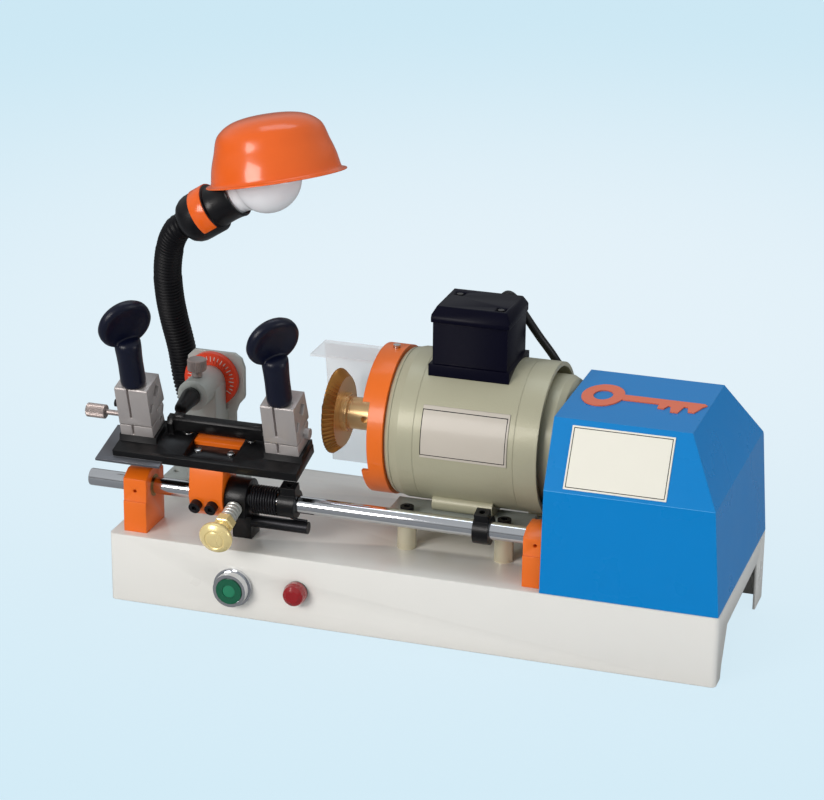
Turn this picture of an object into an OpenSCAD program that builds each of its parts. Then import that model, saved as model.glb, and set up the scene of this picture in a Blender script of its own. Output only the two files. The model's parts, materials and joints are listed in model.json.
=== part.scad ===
// Key duplicating machine: base, rocking carriage with two vises, angular cutter, tracer and work lamp.
// Millimetres, +X to the right, +Y to the back, +Z up. Shapes are drawn from the centre of the base's
// footprint, and placed() shifts them so that the origin is the middle of the whole machine's footprint.

/* [Base] */
// Length of the base along X
base_l = 500; // [460:1:540]
// Depth of the base along Y
base_d = 182; // [170:1:200]
// Height of the base
base_h = 58; // [50:1:70]
// Sheet thickness of the base
base_t = 2; // [1.5:0.5:3]
// Radius of the base's upright corners
base_r = 4; // [3:1:12]

/* [Carriage rod] */
// Diameter of the carriage rod
rod_d = 14; // [12:0.5:16]
// Y of the rod's axis
rod_y = -63.5; // [-66:0.5:-60]
// Height of the rod's axis
rod_z = 93; // [88:0.5:98]
// Radial running clearance of the rod
rod_gap = 0.04; // [0.02:0.01:0.08]

/* [Motor] */
// Outer radius of the motor body
mot_r = 61; // [58:0.5:64]
// Y of the motor's axis
mot_y = 12; // [8:0.5:16]
// Height of the motor's axis
mot_z = 146.5; // [142:0.5:150]
// Diameter of the motor shaft
shaft_d = 12; // [10:0.5:14]

/* [Cutter and tracer] */
// Radius of the cutter's edge
cut_r = 35; // [30:0.5:36]
// X of the cutter's edge
cut_x = -91.5; // [-95:0.5:-88]
// X of the tracer's axis
trc_x = -215.5; // [-219:0.5:-212]
// Outer radius of the graduated dial
dial_r = 23.5; // [20:0.5:26]

/* [Carriage] */
// Backward tilt of the carriage as parked
tilt_a = 15; // [0:1:20]
// Width of a vise jaw along X
jaw_w = 28; // [24:1:30]
// X of the left vise's centre
left_x = -234; // [-238:1:-230]
// X of the right vise's centre
right_x = -110; // [-114:1:-106]
// Thickness of the carriage plate
plate_t = 7.5; // [6:0.5:9]
// Diameter of the vise screws
vise_d = 8; // [7:0.5:9]

/* [Lamp] */
// Radius of the gooseneck
goose_r = 11.8; // [9:0.2:12.6]
// Radius of the bulb
bulb_r = 28; // [25:0.5:30]
// Radius of the shade at its rim
shade_r = 54; // [50:1:60]
// Height of the shade
shade_h = 52; // [46:1:62]

/* [Controls] */
// Outer diameter of the push button's flange
bezel_d = 32; // [28:0.5:34]
// Diameter of the push button
button_d = 21.5; // [18:0.5:23]
// Diameter of the indicator lens
lens_d = 19; // [14:0.5:20]

/* [Node] */
// Name of the part to show

/* [Hidden] */
$fn = 64;
tip_x0 = -285;
gland_y = base_d / 2 + 10;
mid_x = (tip_x0 + base_l / 2) / 2;
knob_face_r = 9;
knob_face_z = 61.4;
plunger_a = 13;
front_y = rod_y - knob_face_z * cos(plunger_a) - knob_face_r * sin(plunger_a);
mid_y = (gland_y + front_y) / 2;
bx = base_l / 2;
by = base_d / 2;
bt = base_h;
dial_y = 45.4;
dial_t = 5.2;
flange_y = 51;
tip_y = -1;
lock_y = 16;
jaw_y0 = 8;
jaw_y1 = 34;
vise_y = 16;
plate_z0 = 28.5;
plate_z1 = plate_z0 + plate_t;
pad_z = plate_z1 + 5;
gauge_p = [28.5, 44.5];
gauge_x = [-208.6, -132.4];
stop_p = [27, 46.7];
arm_screw_x = [-178, -164.5];
collar_r = 11.5;
bar_p = [-61, 72.5];
plunger_x = -146;
plunger_r = 3;
lug_x = [-242, -190];
lug_y = 32;
inlet_p = [190, 30];
grommet_p = [94, 70];
lid_screws = [[8, 22], [50, -6]];
button_p = [-143, 26.5];
lens_p = [-89, 30];
bulb_t = 1.2;
lamp_a = 32.5;
lamp_c = [-155.3, 24, 332.5];
shade_c = [-147, 24, 333];
shade_ax = [-6, -11];
goose_base = [-234, 67, 58];
cable_r = 3.4;
goose_path = [[-234, 67, 66], [-234, 67, 78], [-239, 67, 108], [-246, 67, 137], [-249.5, 65, 165],
  [-252.5, 58, 192], [-252, 48, 216], [-249.5, 39, 242], [-243, 31, 266], [-235.5, 25.5, 279.5],
  [-231, 24, 284.2], [-227.3, 24, 286.6]];
gland_x = 30;
cable_path = [[gland_x, 33, 226], [gland_x, 46, 226.2], [32, 52, 238], [37, 54, 246.5], [44, 54, 244],
  [53, 54, 231], [64.5, 56, 214], [75.5, 62, 196], [86, 72, 172], [93, 77, 147], [95, 77, 115],
  [94.5, 72, 84], [94, 70, 66], [94, 70, 50]];
bell_x0 = -33;
ring_x0 = -52;
ring_r = 60.5;
ring_t = 4;
ring_bolts = [60, 180, 300];
stand_z0 = 84;
stand_z1 = 87.5;
cover_screws = [130, 228];
cover_screw_z = 66;
post_p = [[-15, -38], [65.5, -38], [-15, 62], [65.5, 62]];
block_x = [-240.5, 93];
block_w = 19.5;

module cylx(r, x0, x1, y, z) {
  translate([x0, y, z]) rotate([0, 90, 0]) cylinder(r = r, h = x1 - x0);
}
module cyly(r, y0, y1, x, z) {
  translate([x, y0, z]) rotate([-90, 0, 0]) cylinder(r = r, h = y1 - y0);
}
module cylz(r, z0, z1, x, y) {
  translate([x, y, z0]) cylinder(r = r, h = z1 - z0);
}
module box(x0, x1, y0, y1, z0, z1) {
  translate([x0, y0, z0]) cube([x1 - x0, y1 - y0, z1 - z0]);
}
// Prism along X from a section given as [y, z] points.
module prismx(x0, x1, pts) {
  translate([x0, 0, 0]) rotate([90, 0, 90]) linear_extrude(x1 - x0) polygon(pts);
}
// Prism along Y from a section given as [x, z] points.
module prismy(y0, y1, pts) {
  translate([0, y1, 0]) rotate([90, 0, 0]) linear_extrude(y1 - y0) polygon(pts);
}
// Body of revolution about an X axis from [x, r] points.
module turnx(pts, y, z) {
  translate([0, y, z]) rotate([0, 90, 0]) rotate_extrude() polygon([for (p = pts) [p[1], p[0]]]);
}
module hexz(af, z0, z1, x, y) {
  translate([x, y, z0]) cylinder(r = af / sqrt(3), h = z1 - z0, $fn = 6);
}
module placed() {
  translate([-mid_x, -mid_y, 0]) children();
}
module on_motor() {
  translate([0, mot_y, mot_z]) children();
}
module carriage() {
  translate([0, rod_y, rod_z]) rotate([tilt_a, 0, 0]) children();
}
// Plunger frame: X across, +Z outwards from the rod.
module plunger() {
  translate([plunger_x, rod_y, rod_z]) rotate([90 + plunger_a, 0, 0]) children();
}
// Lamp frame: +Z along the socket towards the bulb's centre.
module lamp() {
  translate(lamp_c) rotate([0, 90 - lamp_a, 0]) children();
}
module shade_frame() {
  translate(shade_c) rotate([shade_ax[0], shade_ax[1], 0]) children();
}

// Sweeps: points along a smooth curve, a ring of points at each, and the skin between them.
function unit(v) = v / norm(v);
function cr(a, b, c, d, t) = 0.5 * ((2 * b) + (c - a) * t + (2 * a - 5 * b + 4 * c - d) * t * t
  + (3 * b - a - 3 * c + d) * t * t * t);
function curve(P, n) = concat([for (i = [0 : len(P) - 2]) for (j = [0 : n - 1])
  cr(P[max(i - 1, 0)], P[i], P[i + 1], P[min(i + 2, len(P) - 1)], j / n)], [P[len(P) - 1]]);
function tang(C, i) = unit(C[min(i + 1, len(C) - 1)] - C[max(i - 1, 0)]);
function ring(c, t, ref, r, s) = let (u = unit(cross(t, ref)), v = cross(t, u))
  [for (k = [0 : s - 1]) c + r * cos(360 * k / s) * u + r * sin(360 * k / s) * v];
module sweep(P, n, r, s, ref) {
  C = curve(P, n);
  m = len(C);
  pts = [for (i = [0 : m - 1]) each ring(C[i], tang(C, i), ref, r, s)];
  skin = [for (i = [0 : m - 2]) for (k = [0 : s - 1])
    [i * s + k, i * s + (k + 1) % s, (i + 1) * s + (k + 1) % s, (i + 1) * s + k]];
  ends = [[for (k = [s - 1 : -1 : 0]) k], [for (k = [0 : s - 1]) (m - 1) * s + k]];
  polyhedron(points = pts, faces = concat(skin, ends), convexity = 6);
}

// ---- Base ----
module base_block(g, z0, z1) {
  r = base_r - g;
  box(-bx + g + r, bx - g - r, -by + g, by - g, z0, z1);
  box(-bx + g, bx - g, -by + g + r, by - g - r, z0, z1);
  for (sx = [-1, 1]) {
    for (sy = [-1, 1]) {
      cylz(r, z0, z1, sx * (bx - g - r), sy * (by - g - r));
    }
  }
}
module base_housing() {
  color([0.88, 0.88, 0.85]) placed() difference() {
    base_block(0, 0, bt);
    base_block(base_t, -1, bt - base_t);
    prismx(-bx - 1, bx + 1, [[-by + 17, -1], [-by + 20, 10], [-by + 36, 38], [by - 34, 42], [by - 31, 38],
      [by - 31, -1]]);
    cyly(11.2, -by - 1, -by + base_t + 1, button_p[0], button_p[1]);
    cyly(6.2, -by - 1, -by + base_t + 1, lens_p[0], lens_p[1]);
    cyly(8, by - base_t - 1, by + 1, inlet_p[0], inlet_p[1]);
    cylz(7, bt - base_t - 1, bt + 1, grommet_p[0], grommet_p[1]);
    for (p = post_p) {
      cylz(3.3, bt - base_t - 1, bt + 1, p[0], p[1]);
    }
    for (x = lug_x) {
      cylz(2.6, bt - base_t - 1, bt + 1, x, lug_y);
    }
    cylz(6.2, bt - base_t - 1, bt + 1, goose_base[0], goose_base[1]);
  }
}

// ---- Rod bearings ----
module bearing_block(x0, top) {
  x1 = x0 + block_w;
  difference() {
    union() {
      prismx(x0, x1, [[-81.5, bt], [-81.5, top - 5.5], [-72, top], [-55, top], [-45.5, top - 5.5],
        [-45.5, bt]]);
      box(x0, x1, -82.5, -80, bt, 84);
    }
    cylx(9, x0 - 1, x1 + 1, rod_y, rod_z);
    cyly(1.5, -84, rod_y, (x0 + x1) / 2, rod_z);
  }
}
module left_bearing_block() {
  color([0.93, 0.42, 0.12]) placed() bearing_block(block_x[0], 108.5);
}
module right_bearing_block() {
  color([0.93, 0.42, 0.12]) placed() bearing_block(block_x[1], 104);
}
module rod_bushes() {
  color([0.72, 0.55, 0.3]) placed() for (x = block_x) {
    difference() {
      cylx(9, x, x + block_w, rod_y, rod_z);
      cylx(rod_d / 2 + rod_gap, x - 1, x + block_w + 1, rod_y, rod_z);
      cyly(1.5, -75, rod_y, x + block_w / 2, rod_z);
    }
  }
}

// ---- Motor ----
module motor_shell() {
  color([0.66, 0.67, 0.55]) placed() on_motor() difference() {
    cylx(mot_r, -8, 74, 0, 0);
    cylx(mot_r - 3, -9, 75, 0, 0);
    cylz(6, 50, 70, 28.5, -2);
  }
}
module bearing(x0, x1) {
  on_motor() difference() {
    cylx(16, x0, x1, 0, 0);
    cylx(shaft_d / 2 + 0.05, x0 - 1, x1 + 1, 0, 0);
  }
}
// Screw holes and screws that hold the guard ring, in the motor's frame.
module ring_bolt(a, r, x0, x1) {
  rotate([a, 0, 0]) cylx(r, x0, x1, 45, 0);
}
module motor_front_bell() {
  color([0.66, 0.67, 0.55]) placed() on_motor() difference() {
    union() {
      turnx([[-8, 0], [-8, mot_r], [-21, mot_r], [-29, 59], [-32, 55], [bell_x0, 50], [bell_x0, 0]], 0, 0);
      turnx([[bell_x0, 0], [bell_x0, 24], [-39, 22], [-39, 0]], 0, 0);
      for (a = [200, 340, 20, 160]) {
        rotate([a, 0, 0]) cylx(5.5, -35, -25, 50, 0);
      }
    }
    cylx(mot_r - 5, -27, -7, 0, 0);
    cylx(16, -36, -20, 0, 0);
    cylx(shaft_d / 2 + 0.5, -42, -20, 0, 0);
    for (a = [45 : 60 : 345]) {
      rotate([a, 0, 0]) cylx(6, -35, -20, 36, 0);
    }
    for (a = ring_bolts) {
      ring_bolt(a, 2, -36, -26);
    }
  }
  color([0.5, 0.5, 0.5]) placed() bearing(-36, -25);
}
module motor_rear_bell() {
  color([0.66, 0.67, 0.55]) placed() on_motor() difference() {
    turnx([[74, 0], [74, mot_r], [93, mot_r], [93, 57.5], [80, 57.5], [80, 51.5], [101, 51.5], [106, 49],
      [109, 44], [109, 0]], 0, 0);
    cylx(48, 73, 104, 0, 0);
    cylx(mot_r - 5, 73, 77, 0, 0);
    cylx(shaft_d / 2 + 0.5, 70, 120, 0, 0);
  }
  color([0.5, 0.5, 0.5]) placed() bearing(94, 104);
}
module stator_core() {
  color([0.45, 0.42, 0.4]) placed() on_motor() difference() {
    cylx(mot_r - 3, 8, 60, 0, 0);
    cylx(34, 7, 61, 0, 0);
  }
}
module motor_foot() {
  color([0.62, 0.63, 0.52]) placed() difference() {
    union() {
      box(3, 53, -24, -8, stand_z1, 102);
      box(3, 53, 32, 48, stand_z1, 102);
      cylx(7, 3, 53, -24, stand_z1 + 7);
    }
    on_motor() cylx(mot_r, 0, 60, 0, 0);
  }
}
// Two plates on four hollow posts.
module motor_stand() {
  color([0.75, 0.74, 0.68]) placed() difference() {
    union() {
      box(-31, 84, -48, -8, stand_z0, stand_z1);
      box(-31, 84, 32, 72, stand_z0, stand_z1);
      for (p = post_p) {
        cylz(7.8, bt, stand_z0 + 0.5, p[0], p[1]);
      }
    }
    for (p = post_p) {
      cylz(3.2, bt - 1, stand_z1 + 1, p[0], p[1]);
    }
  }
}
module motor_bolts() {
  color([0.3, 0.3, 0.3]) placed() for (p = post_p) {
    difference() {
      union() {
        cylz(3, 48, stand_z1 + 1, p[0], p[1]);
        cylz(5.5, stand_z1, 93, p[0], p[1]);
      }
      hexz(5, 90, 94, p[0], p[1]);
    }
    hexz(10, 49.5, bt - base_t, p[0], p[1]);
  }
}
module terminal_box() {
  color([0.06, 0.06, 0.09]) placed() difference() {
    union() {
      box(-2, 59, -17, 35, 197, 242);
      box(-4.5, 61.5, -20, 38, 195, 208);
      cyly(8, 34, 40, gland_x, 226);
    }
    on_motor() cylx(mot_r, -20, 80, 0, 0);
    box(1, 56, -14, 32, 211, 243);
    cylz(6, 190, 212, 28.5, 10);
    cyly(cable_r + 1.5, 30, 41, gland_x, 226);
  }
}
module terminal_lid() {
  color([0.06, 0.06, 0.09]) placed() difference() {
    intersection() {
      prismx(-3.5, 60.5, [[-19, 242], [-19, 246], [-13.5, 254.5], [33, 254.5], [36.5, 249], [36.5, 242]]);
      prismy(-19, 36.5, [[-3.5, 242], [-3.5, 248], [0, 254.5], [57, 254.5], [60.5, 248], [60.5, 242]]);
    }
    box(0, 57, -14, 32, 241, 251);
    for (p = lid_screws) {
      box(p[0] - 4, p[0] + 4, p[1] - 4, p[1] + 4, 252.5, 256);
    }
  }
}
// Lid screws, guard-ring screws and the screws of the rear cover.
module small_screws() {
  color([0.75, 0.75, 0.75]) placed() {
    for (p = lid_screws) {
      cylz(2.6, 252.5, 254.3, p[0], p[1]);
    }
    for (x = cover_screws) {
      cyly(3, by - 1.6, by + 1.6, x, cover_screw_z);
    }
    on_motor() {
      cylz(3, 55, 62.8, -41, 0);
      for (a = ring_bolts) {
        ring_bolt(a, 2, -40, -28);
      }
      ring_bolt(ring_bolts[0], 4, -43.5, -40);
      ring_bolt(ring_bolts[1], 4, -41.5, -38);
      ring_bolt(ring_bolts[2], 4, -41.5, -38);
    }
  }
}
module motor_cable() {
  color([0.05, 0.05, 0.05]) placed() sweep(cable_path, 3, cable_r, 8, [1, 0, 0]);
}
// Gland on the terminal box, grommet in the base and inlet gland in the base's back wall.
module cable_fittings() {
  color([0.08, 0.08, 0.08]) placed() {
    difference() {
      cyly(7, 40, 45, gland_x, 226);
      cyly(cable_r + 0.7, 39, 46, gland_x, 226);
    }
    difference() {
      union() {
        cylz(9, bt, bt + 3, grommet_p[0], grommet_p[1]);
        cylz(7, bt - 4, bt, grommet_p[0], grommet_p[1]);
      }
      cylz(cable_r + 0.5, bt - 6, bt + 5, grommet_p[0], grommet_p[1]);
    }
    difference() {
      union() {
        cyly(8, by - 8, by, inlet_p[0], inlet_p[1]);
        cyly(11, by, by + 4, inlet_p[0], inlet_p[1]);
        cyly(7, by + 4, gland_y, inlet_p[0], inlet_p[1]);
      }
      cyly(3.6, by - 10, by + 12, inlet_p[0], inlet_p[1]);
    }
  }
}
module motor_nameplate() {
  color([0.9, 0.87, 0.78]) placed() on_motor() intersection() {
    difference() {
      cylx(mot_r + 0.8, -1.5, 69, 0, 0);
      cylx(mot_r, -3, 71, 0, 0);
    }
    box(-3, 71, -70, -40, -5.5, 34.5);
  }
}
module guard_ring() {
  color([0.93, 0.38, 0.12]) placed() on_motor() difference() {
    union() {
      difference() {
        cylx(ring_r, ring_x0, bell_x0, 0, 0);
        cylx(ring_r - ring_t, ring_x0 - 1, bell_x0 + 1, 0, 0);
        box(ring_x0 - 1, ring_x0 + 6, -70, -30, -26, 31);
      }
      for (a = ring_bolts) {
        rotate([a, 0, 0]) box(-38, bell_x0, 39, ring_r - 3, -6, 6);
      }
    }
    cylz(3, 40, 70, -41, 0);
    for (a = ring_bolts) {
      ring_bolt(a, 2, -39, -32);
    }
  }
}
// Bent sheet: top strip, sloping rear wall and a tab with a foot at the guard ring's lug.
module clear_shield() {
  color([0.9, 0.92, 0.95, 0.4]) placed() difference() {
    union() {
      prismx(-115.5, ring_x0 - 1, [[14, 190], [14, 192], [50.5, 192], [70, 80], [68, 80], [48.6, 190]]);
      box(ring_x0 - 1.5, -38, 31, 41, 190, 192);
      box(-40, -38, 31, 41, 180, 192);
    }
    on_motor() ring_bolt(ring_bolts[0], 2, -41, -37);
  }
}
module motor_rotor() {
  color([0.7, 0.7, 0.7]) placed() on_motor() {
    cylx(shaft_d / 2, -46, 136, 0, 0);
    cylx(33.4, 8, 60, 0, 0);
  }
}

// ---- Cutter ----
module cutter_arbor() {
  color([0.85, 0.65, 0.3]) placed() on_motor() difference() {
    union() {
      cylx(13, -79, -46, 0, 0);
      cylx(16, -84.5, -79, 0, 0);
      cylx(7, -98, -84.5, 0, 0);
    }
    cylx(shaft_d / 2, -46.01, -45, 0, 0);
    translate([-64, -20, 0]) rotate([-90, 0, 0]) cylinder(r = 2.8, h = 12);
  }
}
module cutter_wheel() {
  color([0.8, 0.6, 0.3]) placed() on_motor() difference() {
    turnx([[-93.5, 7], [-93.5, cut_r - 1.5], [-93, cut_r], [cut_x + 1, cut_r], [-84.5, 29], [-84.5, 7]], 0, 0);
    for (a = [0 : 6 : 354]) {
      rotate([a, 0, 0]) translate([-96, 0, cut_r + 0.6]) rotate([45, 0, 0]) box(0, 14, -1.3, 1.3, -1.3, 1.3);
    }
  }
}
module cutter_nut() {
  color([0.5, 0.5, 0.48]) placed() on_motor() difference() {
    union() {
      cylx(12, -95, -93.5, 0, 0);
      translate([-101, 0, 0]) rotate([0, 90, 0]) cylinder(r = 22 / sqrt(3), h = 6, $fn = 6);
    }
    cylx(7, -102, -90, 0, 0);
  }
}
module brush_wheel() {
  color([0.7, 0.6, 0.35]) placed() on_motor() {
    difference() {
      cylx(38, 150, 162, 0, 0);
      cylx(15, 149, 163, 0, 0);
    }
    difference() {
      cylx(15, 136, 166, 0, 0);
      cylx(shaft_d / 2, 130, 170, 0, 0);
    }
    cylx(shaft_d / 2, 136, 166, 0, 0);
  }
}

// ---- Rear cover ----
module rear_cover() {
  color([0.05, 0.42, 0.72]) placed() difference() {
    intersection() {
      prismx(108, 251, [[-90, bt], [-90, 143.5], [-61, 193], [51, 193], [91, 141], [91, bt]]);
      prismy(-91, 92, [[109, bt], [110.3, 143.5], [109.5, 193], [217.5, 193], [243.5, 143.5], [249.5, bt]]);
    }
    intersection() {
      prismx(104, 251, [[-88.4, bt - 1], [-88.4, 143], [-60, 191.4], [50.2, 191.4], [89.4, 140.5],
        [89.4, bt - 1]]);
      prismy(-91, 92, [[104, bt - 1], [104, 191.4], [216.5, 191.4], [242, 143.2], [247.9, bt - 1]]);
    }
    for (x = cover_screws) {
      cyly(3, by - 3, by + 2, x, cover_screw_z);
    }
  }
}
module on_panel() {
  translate([113.2, -90, 143.5]) rotate([atan2(49.5, 29), 0, 0]) children();
}
module cover_label() {
  color([0.92, 0.9, 0.82]) placed() on_panel() translate([12, 3, 0]) cube([80, 49.5, 0.8]);
}
// Outline of a key: pierced oval bow, blade and bitting.
module key_emblem() {
  color([0.9, 0.42, 0.2]) placed() translate([0, 0, 193]) linear_extrude(1) difference() {
    union() {
      translate([133.6, -4.7]) scale([16.5, 24]) circle(r = 1);
      polygon([[146, -10], [146, 1], [213, 1], [215.5, -2], [213, -6], [209, -20], [204, -20], [202, -10],
        [199, -10], [197, -24], [191, -24], [189, -12], [187, -12], [185, -19], [180, -19], [179, -10]]);
    }
    translate([133.6, -4.7]) scale([7.5, 11]) circle(r = 1);
  }
}

// ---- Controls ----
module button_housing() {
  color([0.8, 0.8, 0.8]) placed() translate([button_p[0], -by, button_p[1]]) rotate([90, 0, 0]) {
    difference() {
      union() {
        cylinder(r = bezel_d / 2, h = 3);
        cylinder(r1 = bezel_d / 2 - 1, r2 = bezel_d / 2 - 2.2, h = 10);
        translate([0, 0, -30]) cylinder(r = 11, h = 31);
      }
      translate([0, 0, 0.8]) cylinder(r = button_d / 2 + 0.4, h = 12);
      translate([0, 0, -8]) cylinder(r = 9.4, h = 12);
      translate([0, 0, -26]) cylinder(r = 3.3, h = 20);
    }
    difference() {
      translate([0, 0, -8]) cylinder(r = 16, h = 4);
      translate([0, 0, -9]) cylinder(r = 11, h = 6);
    }
  }
}
module button_cap() {
  color([0.05, 0.45, 0.25]) placed() translate([button_p[0], -by, button_p[1]]) rotate([90, 0, 0]) {
    difference() {
      translate([0, 0, 4]) cylinder(r = button_d / 2, h = 7);
      translate([0, 0, 10.2]) cylinder(r = 5.4, h = 2);
    }
    translate([0, 0, -3.5]) cylinder(r = 9, h = 8);
    translate([0, 0, -22]) cylinder(r = 3, h = 20);
  }
}
module indicator_holder() {
  color([0.25, 0.25, 0.25]) placed() translate([lens_p[0], -by, lens_p[1]]) rotate([90, 0, 0]) {
    cylinder(r = lens_d / 2 - 0.4, h = 2);
    translate([0, 0, -24]) cylinder(r = 6, h = 24.5);
    translate([0, 0, -5]) cylinder(r = 9, h = 3, $fn = 6);
  }
}
module indicator_lens() {
  color([0.7, 0.03, 0.05]) placed() translate([lens_p[0], -by - 2, lens_p[1]]) rotate([90, 0, 0]) {
    cylinder(r = lens_d / 2, h = 4);
    translate([0, 0, 4]) cylinder(r1 = lens_d / 2, r2 = lens_d / 2 - 1.2, h = 4);
    translate([0, 0, 8]) cylinder(r1 = lens_d / 2 - 1.2, r2 = 5, h = 2.2);
  }
}
module start_capacitor() {
  color([0.75, 0.75, 0.72]) placed() {
    cylx(17, 10, 80, 20, 38);
    difference() {
      box(38, 52, 0, 40, 36, bt - base_t);
      cylx(17, 0, 90, 20, 38);
    }
  }
}

// ---- Tracer ----
module tracer_housing() {
  color([0.62, 0.64, 0.64]) placed() difference() {
    union() {
      cyly(13, 5, dial_y - 0.4, trc_x, mot_z);
      box(-229, -202, 22, dial_y - 0.4, bt, mot_z);
      box(-229, -202, dial_y - 0.4, flange_y, bt, mot_z - dial_r - 1.5);
      prismy(flange_y, flange_y + 2.8, [[-236, bt], [-195.5, bt], [-195.5, 118], [-193, 125], [-188, 131],
        [-187.2, 134], [-187.2, 158], [-190, 166], [-196, 170], [-232, 170], [-238, 164], [-238, 128],
        [-236, 122]]);
      box(-249, -182, 14, 50, bt, bt + 8);
    }
    cyly(6.06, 4, flange_y + 4, trc_x, mot_z);
    cylz(2.1, mot_z, mot_z + 20, trc_x, lock_y);
    for (x = lug_x) {
      cylz(2.6, bt - 1, bt + 9, x, lug_y);
    }
  }
}
// Spindle with a collar and a blunt finger that leans down towards the key.
module tracer_spindle() {
  color([0.1, 0.1, 0.1]) placed() {
    cyly(6, tip_y + 4, 60, trc_x, mot_z);
    cyly(7.8, tip_y, tip_y + 5, trc_x, mot_z);
    translate([trc_x, tip_y, mot_z]) rotate([99.3, 0, 0]) cylinder(r1 = 7.6, r2 = 3.2, h = 22);
  }
}
module tracer_dial() {
  color([0.9, 0.3, 0.18]) placed() difference() {
    cyly(dial_r, dial_y, dial_y + dial_t, trc_x, mot_z);
    cyly(6.1, dial_y - 1, dial_y + dial_t + 1, trc_x, mot_z);
    for (a = [-120 : 10 : 120]) {
      translate([trc_x, dial_y, mot_z]) rotate([0, a, 0]) box(-0.3, 0.3, -1, 0.4, 14.5, 19.5);
    }
  }
}
module tracer_lock() {
  color([0.5, 0.46, 0.46]) placed() {
    cylz(2, mot_z + 6.6, mot_z + 16, trc_x, lock_y);
    cylz(4.4, mot_z + 13.4, mot_z + 16, trc_x, lock_y);
    cylz(8, mot_z + 15.5, mot_z + 25.5, trc_x, lock_y);
  }
}

// ---- Lamp ----
module lamp_mount() {
  color([0.1, 0.1, 0.1]) placed() {
    hexz(26, bt, bt + 6, goose_base[0], goose_base[1]);
    cylz(12.5, bt + 6, bt + 8, goose_base[0], goose_base[1]);
    cylz(6, bt - 8, bt, goose_base[0], goose_base[1]);
  }
}
module gooseneck() {
  color([0.06, 0.06, 0.07]) placed() sweep(goose_path, 3, goose_r, 16, [0, 1, 0]);
}
// Black socket with a band clipped round it.
module lamp_cup() {
  placed() lamp() {
    color([0.06, 0.06, 0.07]) translate([0, 0, -84]) rotate_extrude()
      polygon([[0, 0], [13.4, 0], [18, 3.5], [20.4, 10], [20.4, 31.5], [17.5, 31.5], [17.5, 36], [16.4, 40],
        [17.6, 54], [15.8, 54], [14.2, 44], [0, 44]]);
    color([0.93, 0.42, 0.12]) translate([0, 0, -66]) difference() {
      cylinder(r = 21.2, h = 13);
      translate([0, 0, -1]) cylinder(r = 20.4, h = 15);
      translate([14, -30, -1]) cube([20, 60, 15]);
    }
  }
}
// Glass shell, open at the socket.
module lamp_bulb() {
  ri = bulb_r - bulb_t;
  color([0.95, 0.95, 0.95]) placed() lamp() rotate_extrude()
    polygon(concat([[12.5 - bulb_t, -40], [12.5, -40]],
      [for (a = [-58 : 8 : 86]) [bulb_r * cos(a), bulb_r * sin(a)]], [[0, bulb_r], [0, ri]],
      [for (a = [86 : -8 : -58]) [ri * cos(a), ri * sin(a)]]));
}
module lamp_shade() {
  r = shade_r;
  color([0.93, 0.42, 0.12]) placed() shade_frame() difference() {
    rotate_extrude() polygon([[0, 0], [r + 3, 0], [r + 3, 1.2], [r - 1.5, 3], [r - 2.4, 8], [r - 4.4, 18],
      [r - 7.8, 27], [r - 10.7, 35], [r - 16.2, 41.3], [27, 48.8], [12, 51.6], [0, shade_h]]);
    translate([0, 0, -0.01]) rotate_extrude() polygon([[0, 0], [r - 2.9, 0], [r - 3.8, 8], [r - 5.8, 18],
      [r - 9.2, 27], [r - 12, 34.6], [r - 17.2, 40.4], [26.4, 47.5], [12, 50.2], [0, shade_h - 1.4]]);
    translate([-80, -22, -1]) cube([34, 44, 4.6]);
  }
}

// ---- Locking bracket, slides with the carriage ----
module lock_bracket() {
  color([0.05, 0.05, 0.06]) placed() difference() {
    union() {
      cylx(16, -154.7, -137, rod_y, rod_z);
      box(-153, -137, -66, -47.5, bt + 0.3, rod_z);
      box(-153, -137, -79.5, -66, rod_z - 12, rod_z + 4);
    }
    cylx(rod_d / 2 + rod_gap, -156, -136, rod_y, rod_z);
    plunger() cylinder(r = plunger_r + 0.06, h = 40);
    plunger() translate([0, 0, 16.6]) cylinder(r = 6.6, h = 20);
    cylx(5, -137.01, -136, bar_p[0], bar_p[1]);
  }
}
module spring_bar() {
  color([0.06, 0.06, 0.07]) placed() cylx(5, -137, -90, bar_p[0], bar_p[1]);
}
module plunger_housing() {
  color([0.6, 0.62, 0.6]) placed() plunger() difference() {
    translate([0, 0, 16.6]) cylinder(r = 6.6, h = 17);
    translate([0, 0, 10]) cylinder(r = plunger_r + 0.06, h = 40);
  }
}
module pull_knob() {
  color([0.85, 0.7, 0.35]) placed() plunger() {
    translate([0, 0, 7.5]) cylinder(r = plunger_r, h = 30);
    translate([0, 0, 34]) cylinder(r = 15 / sqrt(3), h = 9, $fn = 6);
    translate([0, 0, 43]) cylinder(r = 5, h = 8);
    translate([0, 0, 51]) rotate_extrude()
      polygon([[0, 0], [9, 0], [13.2, 4], [13.6, 6.5], [12.6, 8.5], [knob_face_r, knob_face_z - 51],
        [0, knob_face_z - 50]]);
  }
}

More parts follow.
